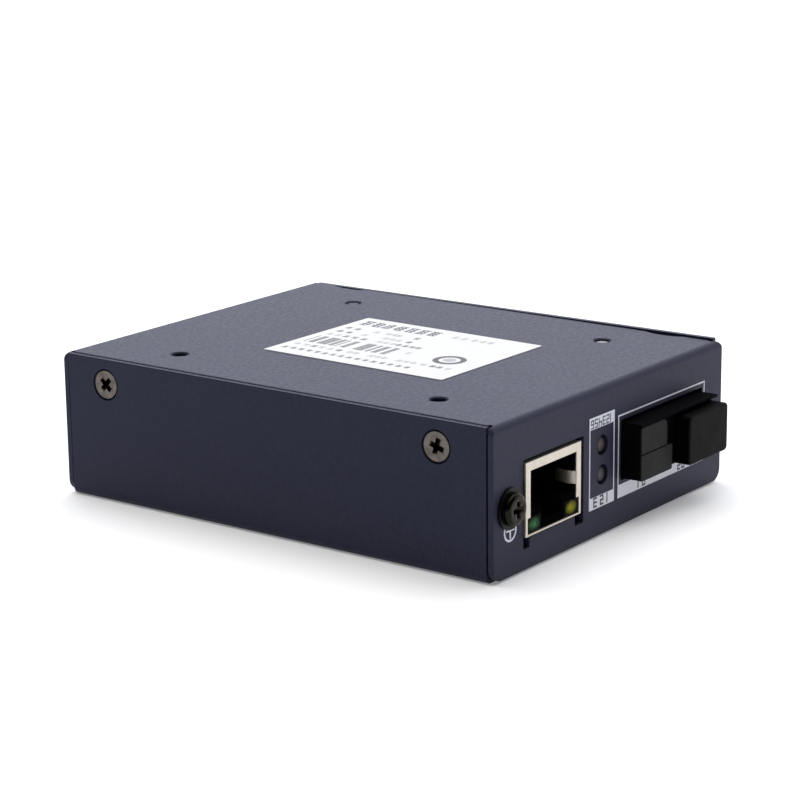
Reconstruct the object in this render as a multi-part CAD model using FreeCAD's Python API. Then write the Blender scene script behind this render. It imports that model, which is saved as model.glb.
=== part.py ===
"""Fibre media converter: a folded steel case with a copper jack, fibre ports and a power inlet.

Millimetres.  X runs across the case, Y along it and Z up.  The front panel, which carries the
ports, faces -Y.  The origin is the middle of the face that the case lies on, so the plate with the
rating label is on top and the circuit board hangs below it on four standoffs.
"""
import FreeCAD
import Part
import math
import os

V = FreeCAD.Vector

# ---------------------------------------------------------------- driving dimensions
# Case
case_length = 92.0
case_width = 72.0
case_height = 26.0
sheet = 1.0                      # folded steel of the tray and of the cover
bend_radius = 1.2                # outside of every fold
front_seam = 0.35                # end panels to the ends of the cover
rear_seam = 0.12
far_seam = 0.5                   # plate's far long edge to the cover's wall
near_wall_drop = 0.15            # near wall's edge below the plate's face
far_wall_front_rise = 0.3        # far wall's edge above the plate's face at the front
far_wall_rear_rise = -0.15       # and at the rear, where it lies below it
panel_lift = 0.35                # the end panels stop this far above the resting face
panel_top_corner = 1.6           # rounded upper corners of the end panels
panel_foot_corner = 2.2          # rounded lower corners of the end panels
corner_relief = 0.9              # round relief hole at each end of the two long folds

# Side tabs of the tray, which the cover is screwed to
tab_pitch = 71.2                 # between the two screws of one side
tab_offset = 0.6                 # middle of the two tabs behind the middle of the case
tab_width = 6.4
tab_drop = 8.2                   # from the plate's face down to the tab's free edge
tab_corner = 1.5
tab_bend_radius = 1.5            # outside of the tab's fold
tab_root = 3.0                   # how far the tab's section runs into the plate
tab_scoop_length = 8.0           # shallow scoop in the plate's far edge at each tab
tab_scoop_depth = 1.0
tab_clearance = 0.1              # tab face to the inside of the cover wall
side_screw_drop = 4.7            # screw axis below the top face
tapped_collar_wall = 0.9
tapped_collar_height = 1.1

# M3 screws
thread = 2.9
thread_hole = 3.0
clearance_hole = 3.4
flat_head = 5.0                  # countersunk head across
flat_head_sink = 0.12            # head below the wall's face
flat_head_land = 0.2             # straight rim of the countersunk head
head_play = 0.35                 # round the countersunk head
mouth_play = 0.1                 # cone to the tab's countersunk mouth
side_screw_length = 5.0
pan_head = 5.6
pan_head_height = 2.0
pan_head_bevel = 0.7             # sloping rim of the pan head
recess_span = 2.9                # cross recess, tip to tip
recess_arm = 0.95
recess_depth = 1.2
recess_near_turn = 30.0          # mean angle of the recesses at each side, in degrees
recess_far_turn = 55.0
recess_turn_spread = 12.0

# Circuit board and its four standoffs
board_near_gap = 6.0             # board edge to the outside of the case, at the near long side
board_far_gap = 8.0              # and at the far one
board_thickness = 1.6
board_hole_inset = 4.0           # fixing holes in from the board's long edges
board_hole_span = 55.9           # front pair to rear pair
board_front_gap = 0.6            # board edge to the inside of the front panel
board_rear_gap = 1.0             # board edge to the inside of the rear panel
screw_head_gap = 0.3             # front fixing screws to the connectors ahead of them
board_corner = 1.5
standoff_height = 5.0
standoff_across = 5.5            # hexagon across its flats
standoff_spigot = 4.3            # pressed into the plate
standoff_dish = 0.25             # countersunk mouth of the spigot
press_gap = 0.01                 # fine gap at pressed and glued joints
board_screw_long = 7.7
board_screw_short = 5.0
lock_washer_thickness = 0.7
lock_washer_outer = 5.2
lock_washer_split = 0.5

# Ground terminal on the front panel
ground_inset = 4.6               # screw axis in from the case's side
ground_drop = 14.2               # screw axis below the plate's face
ground_head = 5.6
ground_head_height = 0.9
ground_head_crown = 0.75         # rounding of the head's rim
ground_screw_length = 8.0
ground_lock_thickness = 0.4
flat_washer_outer = 6.9
flat_washer_thickness = 0.4
ground_nut_across = 5.5
ground_nut_height = 2.0

# Copper jack
jack_inset = 16.8                # axis in from the case's side
jack_width = 16.3
jack_height = 12.4
jack_length = 14.9
jack_proud = 0.4                 # front frame ahead of the panel
jack_foil = 0.3                  # shield sheet
jack_seat_gap = 0.1              # shield to board
frame_side = 1.35
frame_top = 1.5
frame_foot = 0.3
jack_led_width = 4.2
jack_led_height = 2.75
jack_led_inset = 0.55            # from the side of the shield
jack_led_setback = 0.2           # behind the front frame
jack_led_depth = 5.4
jack_led_edge = 0.35             # rounding of the lamp's front edges
plug_cavity_width = 11.8
plug_cavity_height = 6.7
plug_cavity_depth = 11.2
latch_width = 5.6
latch_drop = 2.6
jack_cut_left = 0.15             # panel opening past the shield, side by side
jack_cut_right = 1.4
jack_cut_top = 0.5
jack_cut_foot = 0.35
jack_notch_left_width = 1.8
jack_notch_right_width = 2.6
jack_notch_depth = 1.65
shield_spring_length = 4.2
shield_spring_width = 2.2
shield_spring_bow = 0.45
shield_spring_drop = 4.85        # below the shield's top
shield_spring_gap = 0.25         # moulding cleared round each spring
contact_count = 8
contact_pitch = 1.02
contact_wire = 0.4
contact_slot_start = 1.5         # behind the moulding's front face
contact_slot_top = 0.8           # below the shield's top
contact_slot_foot = 1.0          # into the cavity wall
contact_lift = 0.2               # lead above the cavity's upper wall
contact_start = 3.0              # first bend behind the frame
contact_end = 1.0                # lead's end ahead of the cavity's floor
contact_reach = 6.0              # length of the sprung leg
contact_drop = 1.3               # how far the sprung leg comes down
contact_tip = 0.3

# Indicator lamps
lamp_offset = 0.295              # from the middle between the jack and the receptacle
lamp_pitch = 5.1
lamp_upper_drop = 2.5            # upper lamp's axis below the board
lamp_hole = 3.5
lamp_lens = 3.1
lamp_setback = 0.25              # lens tip behind the panel's face
lamp_flange = 3.8
lamp_flange_thickness = 1.0
lamp_holder_width = 5.4
lamp_holder_depth = 6.5
lamp_holder_corner = 0.5
lamp_dome = 0.7                  # rounding of the lens tip, as a share of its length
lamp_play = 0.05

# Fibre receptacle
fibre_inset = 20.44              # middle in from the case's other side
fibre_width = 25.4
fibre_height = 9.8
fibre_length = 16.9
fibre_proud = 2.45               # ahead of the front panel
fibre_seat_gap = 0.15            # receptacle to board
fibre_side_gap = 0.8             # receptacle to the panel's opening
fibre_top_gap = 0.55
fibre_foot_gap = 0.2
port_pitch = 12.7
port_width = 9.1
port_height = 7.4
port_depth = 12.0
port_drop = 0.3                  # port axis below the middle of the receptacle
key_slot_width = 2.2
key_slot_height = 0.5
brow_thickness = 0.4             # ledge over the two ports
brow_reach = 1.2
sleeve_outer = 4.4
sleeve_inner = 2.6
sleeve_reach = 6.0               # ahead of the port's floor
sleeve_seat = 3.0                # behind it
sleeve_floor = 1.0
post_diameter = 1.8              # moulded posts that locate the receptacle in the board
post_reach = 2.6
post_inset = 1.8                 # from the side of the receptacle
post_setback = 3.6               # behind the board's front edge

# Optical assemblies behind the receptacle
barrel_diameter = 5.0
barrel_length = 7.0
header_diameter = 5.6
header_thickness = 1.2
lead_wire = 0.45
lead_spread = 0.9                # lead to the axis, across and up
lead_bend = 0.5                  # outside of the lead's bend
lead_upper_run = 2.0             # from the header back to the rising leg
lead_lower_run = 3.8
lead_stub = 0.8                  # above the board
lead_hole = 0.9
post_hole_play = 0.15

# Dust plugs
plug_play = 0.08                 # plug to port, each side
plug_reach = 8.0
plug_bore = 5.4
plug_bore_depth = 4.0
plug_shank_corner = 0.4
rx_head_left = 6.4               # head's edges, to each side of the port's axis
rx_head_right = 3.65
rx_head_gap = 0.12               # head to the brow
rx_head_height = 9.33
rx_head_thickness = 1.2
rx_head_corner = 0.3
rx_step_height = 4.5             # the head steps in above this height
rx_step_width = 1.75
rx_step_corner = 1.2
seam_groove = 0.25               # fine seam across the head at the step
tx_head_width = 13.2
tx_head_gap = 0.7                # head to the brow
tx_head_height = 8.7
tx_head_thickness = 3.3
tx_head_corner = 0.9
tx_head_edge = 0.5

# Power inlet
inlet_inset = 20.0               # axis in from the case's side
inlet_width = 9.0
inlet_height = 11.0
inlet_length = 14.2
inlet_axis_drop = 6.4            # below the board
inlet_bore = 6.4
inlet_bore_depth = 9.5
inlet_pin = 2.0
inlet_pin_reach = 8.5
inlet_window_gap = 0.25
inlet_window_corner = 0.8
inlet_spring_width = 2.4
inlet_spring = 0.4
inlet_spring_crest = 0.7         # height of the bend that presses on the plug
inlet_spring_pitch = 1.0         # along the inlet, from one bend to the next
inlet_spring_gap = 0.3

# Rating label
label_width = 30.0
label_length = 39.1
label_thickness = 0.1
label_x = -0.4
label_y = -2.3
label_turn = -0.9                # degrees, as it was stuck on
label_corner = 0.4

# Parts on the board: each is length, width, height
chip_size = 14.0
chip_height = 1.6
chip_lead = 1.0
chip_lead_thickness = 0.3
chip_corner = 0.3
chip_mark = 1.2                  # round dimple at the first lead
chip_mark_inset = 1.8
chip_mark_depth = 0.15
chip_x = -6.0
chip_y = 2.0
transformer_length = 12.8
transformer_width = 9.5
transformer_height = 5.8
transformer_y = -15.0
transformer_corner = 0.4
crystal_length = 11.0
crystal_width = 4.6
crystal_height = 3.4
crystal_x = -21.6
crystal_y = 3.0
crystal_end = 2.2                # rounding of its two ends
capacitor_diameter = 6.3
capacitor_height = 7.0
capacitor_spread = 8.5
capacitor_groove = 0.25
capacitor_groove_pitch = 0.4
capacitor_foot = 1.0
capacitor_edge = 0.4             # bevel round the can's end
capacitor_x = 3.0
capacitor_y = 27.0
regulator_length = 6.5
regulator_width = 3.6
regulator_height = 1.7
regulator_x = -2.0
regulator_y = 17.0
regulator_corner = 0.2
inductor_size = 7.0
inductor_height = 4.0
inductor_x = 16.0
inductor_y = 16.0
inductor_corner = 1.2
chip_parts_columns = 6
chip_parts_pitch = 2.6
chip_part_length = 1.6
chip_part_width = 0.8
chip_part_height = 0.55
chip_parts_x = 12.0
chip_parts_y = 4.0

# ---------------------------------------------------------------- places worked out from them
front = -case_length / 2
rear = case_length / 2
side = case_width / 2
plate_inner = case_height - sheet
wall_inner = side - sheet
tab_face = wall_inner - tab_clearance
side_screw_z = case_height - side_screw_drop
board_top = plate_inner - standoff_height
board_under = board_top - board_thickness
board_front = front + sheet + board_front_gap
board_rear = rear - sheet - board_rear_gap
board_near = board_near_gap - side
board_far = side - board_far_gap
cover_front = front + sheet + front_seam
cover_rear = rear - sheet - rear_seam
jack_x = jack_inset - side
jack_left = jack_x - jack_width / 2
jack_right = jack_x + jack_width / 2
jack_top = board_under - jack_seat_gap
jack_foot = jack_top - jack_height
jack_front = front - jack_proud
jack_rear = jack_front + jack_length
lamp_upper_z = board_under - lamp_upper_drop
ground_x = ground_inset - side
ground_z = case_height - ground_drop
fibre_x = side - fibre_inset
fibre_left = fibre_x - fibre_width / 2
fibre_right = fibre_x + fibre_width / 2
fibre_top = board_under - fibre_seat_gap
fibre_foot = fibre_top - fibre_height
fibre_front = front - fibre_proud
fibre_rear = fibre_front + fibre_length
board_hole_y = max(jack_rear, fibre_rear) + screw_head_gap + pan_head / 2
port_z = (fibre_top + fibre_foot) / 2 - port_drop
port_floor = fibre_front + port_depth
lamp_x = (jack_right + fibre_left) / 2 + lamp_offset
rx_x = fibre_x - port_pitch / 2
tx_x = fibre_x + port_pitch / 2
brow_under = fibre_top - brow_thickness
header_rear = fibre_rear + barrel_length + header_thickness
inlet_x = inlet_inset - side
inlet_z = board_under - inlet_axis_drop
slot_cut = 2.0                   # how far a cutting tool runs past the face that it opens


# ---------------------------------------------------------------- helpers
def block(x0, x1, y0, y1, z0, z1):
    """Rectangular solid between the two corners."""
    return Part.makeBox(x1 - x0, y1 - y0, z1 - z0, V(x0, y0, z0))


def rod(start, direction, length, diameter):
    """Round solid from a point along a direction."""
    return Part.makeCylinder(diameter / 2, length, start, direction)


def taper(start, direction, length, first, last):
    """Cone frustum, from the first diameter to the last."""
    return Part.makeCone(first / 2, last / 2, length, start, direction)


def outline(points, radii):
    """Closed flat wire through the points, with each corner rounded by its radius (0 is sharp)."""
    stations = []
    for index, corner in enumerate(points):
        to_last = (points[index - 1] - corner).normalize()
        to_next = (points[(index + 1) % len(points)] - corner).normalize()
        radius = radii[index]
        if radius == 0:
            stations.append((corner, None, corner))
            continue
        half = to_last.getAngle(to_next) / 2
        run = radius / math.tan(half)
        inward = (to_last + to_next).normalize()
        middle = corner + inward * (radius / math.sin(half) - radius)
        stations.append((corner + to_last * run, middle, corner + to_next * run))
    edges = []
    for index, (start, middle, end) in enumerate(stations):
        if middle is not None:
            edges.append(Part.Arc(start, middle, end).toShape())
        following = stations[(index + 1) % len(stations)][0]
        if (following - end).Length > 1e-7:
            edges.append(Part.LineSegment(end, following).toShape())
    return Part.Wire(edges)


def extrude(points, radii, along):
    """Solid swept straight from a rounded outline."""
    return Part.Face(outline(points, radii)).extrude(along)


def rounded_block(x0, x1, y0, y1, z0, z1, radius, axis):
    """Rectangular solid whose four edges along the axis are rounded."""
    if axis == "x":
        corners = [V(x0, y0, z0), V(x0, y1, z0), V(x0, y1, z1), V(x0, y0, z1)]
        return extrude(corners, [radius] * 4, V(x1 - x0, 0, 0))
    if axis == "y":
        corners = [V(x0, y0, z0), V(x1, y0, z0), V(x1, y0, z1), V(x0, y0, z1)]
        return extrude(corners, [radius] * 4, V(0, y1 - y0, 0))
    corners = [V(x0, y0, z0), V(x1, y0, z0), V(x1, y1, z0), V(x0, y1, z0)]
    return extrude(corners, [radius] * 4, V(0, 0, z1 - z0))


def fuse(shapes):
    """One solid from pieces that meet."""
    joined = shapes[0]
    for shape in shapes[1:]:
        joined = joined.fuse(shape)
    return joined.removeSplitter()


def cut(shape, tools):
    """The shape with every tool taken out."""
    for tool in tools:
        shape = shape.cut(tool)
    return shape


def hexagon(centre, across, direction, height):
    """Hexagonal prism standing on a point, across its flats, along Y or Z."""
    sides = 6
    radius = across / math.sqrt(3)
    corners = []
    for index in range(sides):
        angle = 2 * math.pi * index / sides
        first = radius * math.cos(angle)
        second = radius * math.sin(angle)
        if abs(direction.z) > 0.5:
            corners.append(centre + V(first, second, 0))
        else:
            corners.append(centre + V(first, 0, second))
    return extrude(corners, [0] * sides, direction * height)


def cross_recess(face_centre, into, turn=0):
    """Cutting tool of a cross recess: two tapered arms that meet at a blunt point."""
    arms = []
    half = recess_span / 2
    floor = recess_span / 5
    for angle in (turn, turn + 90):
        corners = [V(-half, 0, 0), V(half, 0, 0), V(floor, 0, recess_depth), V(-floor, 0, recess_depth)]
        arm = extrude(corners, [0] * 4, V(0, recess_arm, 0))
        arm.translate(V(0, -recess_arm / 2, 0))
        arm.rotate(V(0, 0, 0), V(0, 0, 1), angle)
        arms.append(arm)
    tool = arms[0].fuse(arms[1])
    tool.Placement = FreeCAD.Placement(face_centre, FreeCAD.Rotation(V(0, 0, 1), into))
    return tool


def save(name, shapes):
    """Write one node, as one solid or as a group of separate solids."""
    shape = shapes[0] if len(shapes) == 1 else Part.makeCompound(shapes)
    shape.exportStep("parts/" + name + ".step")


# ---------------------------------------------------------------- folded case
def tab_places():
    """Places of the two tabs along the case, front one first."""
    return [tab_offset - tab_pitch / 2, tab_offset + tab_pitch / 2]


def channel_section(span, depth):
    """Points and radii of a U section: web at height 0 and two legs up to the depth."""
    half = span / 2
    points = [(-half, 0), (half, 0), (half, depth), (half - sheet, depth),
              (half - sheet, sheet), (sheet - half, sheet), (sheet - half, depth), (-half, depth)]
    inside = bend_radius - sheet
    radii = [bend_radius, bend_radius, 0, 0, inside, inside, 0, 0]
    return points, radii


def side_tab(way, y):
    """Tab folded down from the plate's long edge, with a drawn and tapped collar."""
    root = tab_face - tab_root
    foot = case_height - tab_drop
    half = tab_width / 2
    section = [V(root, y - half, case_height), V(tab_face, y - half, case_height),
               V(tab_face, y - half, foot), V(tab_face - sheet, y - half, foot),
               V(tab_face - sheet, y - half, plate_inner), V(root, y - half, plate_inner)]
    radii = [0, tab_bend_radius, 0, 0, tab_bend_radius - sheet, 0]
    tab = extrude(section, radii, V(0, tab_width, 0))
    free_corners = [V(0, y - half, foot), V(0, y + half, foot), V(0, y + half, case_height),
                    V(0, y - half, case_height)]
    tab = tab.common(extrude(free_corners, [tab_corner, tab_corner, 0, 0], V(side, 0, 0)))
    collar_face = tab_face - sheet - tapped_collar_height
    collar = rod(V(collar_face, y, side_screw_z), V(1, 0, 0), tapped_collar_height + sheet / 2,
                 thread_hole + 2 * tapped_collar_wall)
    hole = rod(V(collar_face - slot_cut, y, side_screw_z), V(1, 0, 0), side, thread_hole)
    cone_across = flat_head - 2 * (side - flat_head_sink - flat_head_land - tab_face)
    mouth_depth = (cone_across + 2 * mouth_play - thread_hole) / 2
    mouth = taper(V(tab_face - mouth_depth, y, side_screw_z), V(1, 0, 0), mouth_depth, thread_hole,
                  cone_across + 2 * mouth_play)
    tab = cut(tab.fuse(collar), [hole, mouth])
    if way < 0:
        tab = tab.mirror(V(0, 0, 0), V(1, 0, 0))
    return tab


def tab_scoop(y):
    """Cutting tool for the shallow scoop in the plate's far edge where a tab is folded down."""
    edge = wall_inner - far_seam
    radius = (tab_scoop_length ** 2 / 4 + tab_scoop_depth ** 2) / (2 * tab_scoop_depth)
    low = plate_inner - slot_cut
    high = case_height + slot_cut
    disc = rod(V(edge - tab_scoop_depth + radius, y, low), V(0, 0, 1), high - low, 2 * radius)
    strip = block(edge - tab_scoop_depth, edge + far_seam, y - tab_scoop_length, y + tab_scoop_length,
                  low, high)
    return disc.common(strip)


def corner_cutter(way, end, z, radius, upward):
    """Cutting tool that rounds one corner of an end panel."""
    depth = sheet + front_seam
    start = end - depth if end > 0 else end
    x = side - radius
    centre_z = z - radius if upward else z + radius
    square_z = centre_z if upward else z - slot_cut
    square = block(x, side + slot_cut, start - slot_cut, start + depth, square_z,
                   square_z + radius + slot_cut)
    if end > 0:
        square = block(x, side + slot_cut, start, start + depth + slot_cut, square_z,
                       square_z + radius + slot_cut)
    round_bar = rod(V(x, start - 2 * slot_cut, centre_z), V(0, 1, 0), depth + 4 * slot_cut, 2 * radius)
    cutter = square.cut(round_bar)
    if way < 0:
        cutter = cutter.mirror(V(0, 0, 0), V(1, 0, 0))
    return cutter


def front_openings():
    """Cutting tools for everything that shows through the front panel."""
    y0 = front - slot_cut
    y1 = front + sheet + slot_cut
    left = jack_left - jack_cut_left
    right = jack_right + jack_cut_right
    foot = jack_foot - jack_cut_foot
    tools = [block(left, right, y0, y1, foot, jack_top + jack_cut_top)]
    for x0, x1 in ((left, left + jack_notch_left_width), (right - jack_notch_right_width, right)):
        tools.append(block(x0, x1, y0, y1, foot - jack_notch_depth, foot + slot_cut))
    tools.append(block(fibre_left - fibre_side_gap, fibre_right + fibre_side_gap, y0, y1,
                       fibre_foot - fibre_foot_gap, fibre_top + fibre_top_gap))
    for z in (lamp_upper_z, lamp_upper_z - lamp_pitch):
        tools.append(rod(V(lamp_x, y0, z), V(0, 1, 0), y1 - y0, lamp_hole))
    tools.append(rod(V(ground_x, y0, ground_z), V(0, 1, 0), y1 - y0, clearance_hole))
    return tools


def rear_openings():
    """Cutting tool for the power inlet in the rear panel."""
    half = inlet_width / 2 + inlet_window_gap
    return [rounded_block(inlet_x - half, inlet_x + half, rear - sheet - slot_cut, rear + slot_cut,
                          board_under - inlet_height - inlet_window_gap, board_under + inlet_window_gap,
                          inlet_window_corner, "y")]


def board_hole_places():
    """Centres of the board's four fixing holes, front pair first."""
    return [(x, y) for y in (board_hole_y, board_hole_y + board_hole_span)
            for x in (board_near + board_hole_inset, board_far - board_hole_inset)]


def base_tray():
    """Plate, front panel, rear panel and four screw tabs, folded from one sheet."""
    points, radii = channel_section(case_length, case_height - panel_lift)
    section = [V(-side, u, case_height - v) for u, v in points]
    tray = extrude(section, radii, V(case_width, 0, 0))
    tools = []
    for way, margin in ((-1, tab_face), (1, wall_inner - far_seam)):
        edge = block(margin, side + slot_cut, cover_front, cover_rear, panel_lift, case_height + slot_cut)
        if way < 0:
            edge = edge.mirror(V(0, 0, 0), V(1, 0, 0))
        tools.append(edge)
        for end, relief_y in ((front, cover_front), (rear, cover_rear)):
            tools.append(corner_cutter(way, end, case_height, panel_top_corner, True))
            tools.append(corner_cutter(way, end, panel_lift, panel_foot_corner, False))
            tools.append(rod(V(way * margin, relief_y, plate_inner - bend_radius), V(0, 0, 1),
                             2 * bend_radius + sheet, corner_relief))
    for y in tab_places():
        tools.append(tab_scoop(y))
    for x, y in board_hole_places():
        tools.append(rod(V(x, y, plate_inner - slot_cut), V(0, 0, 1), 2 * slot_cut + sheet,
                         standoff_spigot))
    tray = cut(tray, tools + front_openings() + rear_openings())
    tabs = [side_tab(way, y) for way in (-1, 1) for y in tab_places()]
    return fuse([tray] + tabs)


def cover():
    """Wrap-round cover: the broad face that the case lies on and both long walls."""
    highest = case_height + far_wall_front_rise
    points, radii = channel_section(case_width, highest)
    section = [V(u, cover_front, v) for u, v in points]
    shell = extrude(section, radii, V(0, cover_rear - cover_front, 0))
    near_top = case_height - near_wall_drop
    above = highest + slot_cut
    far_edge = [V(0, cover_front, highest), V(0, cover_rear, case_height + far_wall_rear_rise),
                V(0, cover_rear, above), V(0, cover_front, above)]
    tools = [block(-side, 0, cover_front, cover_rear, near_top, above),
             extrude(far_edge, [0] * len(far_edge), V(side, 0, 0))]
    for way in (-1, 1):
        for y in tab_places():
            mouth = flat_head + 2 * head_play
            start = V(way * (side + slot_cut), y, side_screw_z)
            sink_start = V(way * (side - flat_head_sink - flat_head_land), y, side_screw_z)
            inward = V(-way, 0, 0)
            tools.append(rod(start, inward, slot_cut + flat_head_sink + flat_head_land, mouth))
            tools.append(taper(sink_start, inward, mouth / 2, mouth, 0))
            tools.append(rod(start, inward, slot_cut + 2 * sheet, clearance_hole))
    return cut(shell, tools)


# ---------------------------------------------------------------- fasteners
def flat_head_screw(way, y, turn):
    """Countersunk cross-head screw through the cover wall into a tab, tightened to an angle."""
    inward = V(-way, 0, 0)
    face = V(way * (side - flat_head_sink), y, side_screw_z)
    rim = rod(face, inward, flat_head_land, flat_head)
    cone_length = (flat_head - thread) / 2
    cone = taper(face + inward * flat_head_land, inward, cone_length, flat_head, thread)
    shank = rod(face + inward * flat_head_land, inward, side_screw_length - flat_head_land, thread)
    screw = fuse([rim, cone, shank])
    return screw.cut(cross_recess(face, inward, turn))


def side_screws():
    """The four screws that hold the cover, each stopped at its own angle."""
    screws = []
    for way in (-1, 1):
        for y in tab_places():
            turn = recess_near_turn if way < 0 else recess_far_turn
            screws.append(flat_head_screw(way, y, turn + math.copysign(recess_turn_spread, y)))
    return screws


def headed_screw(profile, radii, height, seat, along):
    """Cross-head screw turned from its half section, with the underside of its head on the seat."""
    screw = Part.Face(outline(profile, radii)).revolve(V(0, 0, 0), V(0, 0, 1), 360)
    screw = screw.cut(cross_recess(V(0, 0, -height), V(0, 0, 1)))
    screw.Placement = FreeCAD.Placement(seat, FreeCAD.Rotation(V(0, 0, 1), along))
    return screw


def board_screw(seat, length):
    """Pan-head screw that holds the board to a standoff."""
    radius = pan_head / 2
    profile = [V(0, 0, -pan_head_height), V(radius - pan_head_bevel, 0, -pan_head_height),
               V(radius, 0, pan_head_bevel - pan_head_height), V(radius, 0, 0), V(thread / 2, 0, 0),
               V(thread / 2, 0, length), V(0, 0, length)]
    return headed_screw(profile, [0] * len(profile), pan_head_height, seat, V(0, 0, 1))


def ground_screw(seat):
    """Low domed screw of the ground terminal."""
    radius = ground_head / 2
    profile = [V(0, 0, -ground_head_height), V(radius, 0, -ground_head_height), V(radius, 0, 0),
               V(thread / 2, 0, 0), V(thread / 2, 0, ground_screw_length), V(0, 0, ground_screw_length)]
    return headed_screw(profile, [0, ground_head_crown, 0, 0, 0, 0], ground_head_height, seat,
                        V(0, 1, 0))


def ring(base, along, thickness, outer, inner):
    """Plain washer."""
    return rod(base, along, thickness, outer).cut(rod(base, along, thickness, inner))


def split_ring(base, along, thickness, outer, inner):
    """Spring washer with its one cut."""
    washer = ring(base, along, thickness, outer, inner)
    half = lock_washer_split / 2
    if abs(along.z) > 0.5:
        slit = block(base.x, base.x + outer, base.y - half, base.y + half, base.z - slot_cut,
                     base.z + slot_cut)
    else:
        slit = block(base.x - half, base.x + half, base.y - slot_cut, base.y + slot_cut, base.z,
                     base.z + outer)
    return washer.cut(slit)


def ground_terminal():
    """Screw, spring washer, flat washer and nut that clamp a ground lug to the front panel."""
    inward = V(0, 1, 0)
    flat_face = front - flat_washer_thickness
    lock_face = flat_face - ground_lock_thickness
    save("ground_flat_washer", [ring(V(ground_x, flat_face, ground_z), inward, flat_washer_thickness,
                                     flat_washer_outer, clearance_hole)])
    save("ground_spring_washer", [split_ring(V(ground_x, lock_face, ground_z), inward,
                                             ground_lock_thickness, lock_washer_outer, thread_hole)])
    save("ground_screw", [ground_screw(V(ground_x, lock_face, ground_z))])
    nut_face = V(ground_x, front + sheet, ground_z)
    nut = hexagon(nut_face, ground_nut_across, inward, ground_nut_height)
    save("ground_nut", [nut.cut(rod(nut_face, inward, ground_nut_height, thread_hole))])


def board_fixings():
    """Standoffs in the plate, with a screw and a spring washer for each."""
    standoffs = []
    washers = []
    long_screws = []
    short_screws = []
    upward = V(0, 0, 1)
    for x, y in board_hole_places():
        base = V(x, y, board_top)
        body = hexagon(base, standoff_across, upward, standoff_height - press_gap)
        spigot = rod(V(x, y, plate_inner - press_gap), upward, sheet + press_gap,
                     standoff_spigot - 2 * press_gap)
        dish = taper(V(x, y, case_height - standoff_dish), upward, standoff_dish, thread_hole,
                     thread_hole + 2 * standoff_dish)
        bore = rod(base, upward, standoff_height + sheet, thread_hole)
        standoffs.append(cut(fuse([body, spigot]), [bore, dish]))
        washers.append(split_ring(V(x, y, board_under - lock_washer_thickness), upward,
                                  lock_washer_thickness, lock_washer_outer, thread_hole))
        seat = V(x, y, board_under - lock_washer_thickness)
        if x > 0:
            long_screws.append(board_screw(seat, board_screw_long))
        else:
            short_screws.append(board_screw(seat, board_screw_short))
    save("board_standoffs", standoffs)
    save("board_spring_washers", washers)
    save("board_screws_long", long_screws)
    save("board_screws_short", short_screws)


# ---------------------------------------------------------------- circuit board
def lead_runs():
    """Each lead of one optical assembly: across, up and back from the end of its axis."""
    return [(across * lead_spread, up * lead_spread, run) for up, run in
            ((1, lead_upper_run), (-1, lead_lower_run)) for across in (-1, 1)]


def lead_places():
    """Centres of the holes that the optical assemblies' leads pass through."""
    return [(x + across, header_rear + run) for x in (rx_x, tx_x) for across, up, run in lead_runs()]


def post_places():
    """Centres of the receptacle's two posts, near the front panel."""
    reach = fibre_width / 2 - post_inset
    return [(fibre_x + way * reach, board_front + post_setback) for way in (-1, 1)]


def contact_x(index):
    """Place of one of the jack's contacts across the case."""
    return jack_x + (index - (contact_count - 1) / 2) * contact_pitch


def circuit_board():
    """Board with its fixing holes and the holes of the leads that pass through it."""
    board = rounded_block(board_near, board_far, board_front, board_rear, board_under, board_top,
                          board_corner, "z")
    tools = []
    below = board_under - slot_cut
    depth = board_thickness + 2 * slot_cut
    for x, y in board_hole_places():
        tools.append(rod(V(x, y, below), V(0, 0, 1), depth, clearance_hole))
    for x, y in lead_places():
        tools.append(rod(V(x, y, below), V(0, 0, 1), depth, lead_hole))
    for x, y in post_places():
        tools.append(rod(V(x, y, below), V(0, 0, 1), depth, post_diameter + 2 * post_hole_play))
    return cut(board, tools)


# ---------------------------------------------------------------- copper jack
def jack_shield():
    """Folded foil shield: a box open underneath the board, with the front frame and side springs."""
    shell = block(jack_left, jack_right, jack_front, jack_rear, jack_foot, jack_top)
    inside = block(jack_left + jack_foil, jack_right - jack_foil, jack_front + jack_foil,
                   jack_rear - jack_foil, jack_foot + jack_foil, jack_top - jack_foil)
    behind = jack_front + 2 * jack_foil
    opening = block(jack_left + frame_side, jack_right - frame_side, jack_front - slot_cut, behind,
                    jack_foot + frame_foot, jack_top - frame_top)
    lamps = block(jack_left + jack_led_inset, jack_right - jack_led_inset, jack_front - slot_cut, behind,
                  jack_foot + frame_foot, jack_foot + frame_foot + jack_led_height)
    shell = cut(shell, [inside, opening, lamps])
    return fuse([shell] + [shield_spring(way) for way in (-1, 1)])


def shield_spring(way):
    """Bowed finger that turns in from the frame's side edge and grips the plug's shell."""
    edge = jack_width / 2 - frame_side
    top = jack_top - shield_spring_drop
    tip = jack_front + shield_spring_length
    middle = jack_front + shield_spring_length / 2
    start = jack_front + jack_foil / 2
    outer = Part.Arc(V(edge, start, top), V(edge - shield_spring_bow, middle, top), V(edge, tip, top))
    inner = Part.Arc(V(edge + jack_foil, tip, top), V(edge + jack_foil - shield_spring_bow, middle, top),
                     V(edge + jack_foil, start, top))
    wire = Part.Wire([outer.toShape(), Part.LineSegment(V(edge, tip, top), V(edge + jack_foil, tip, top))
                      .toShape(), inner.toShape(),
                      Part.LineSegment(V(edge + jack_foil, start, top), V(edge, start, top)).toShape()])
    spring = Part.Face(wire).extrude(V(0, 0, -shield_spring_width))
    if way < 0:
        spring = spring.mirror(V(0, 0, 0), V(1, 0, 0))
    spring.translate(V(jack_x, 0, 0))
    return spring


def cavity_top():
    """Height of the upper wall of the plug cavity, which the contacts lie against."""
    return jack_top - frame_top


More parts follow.
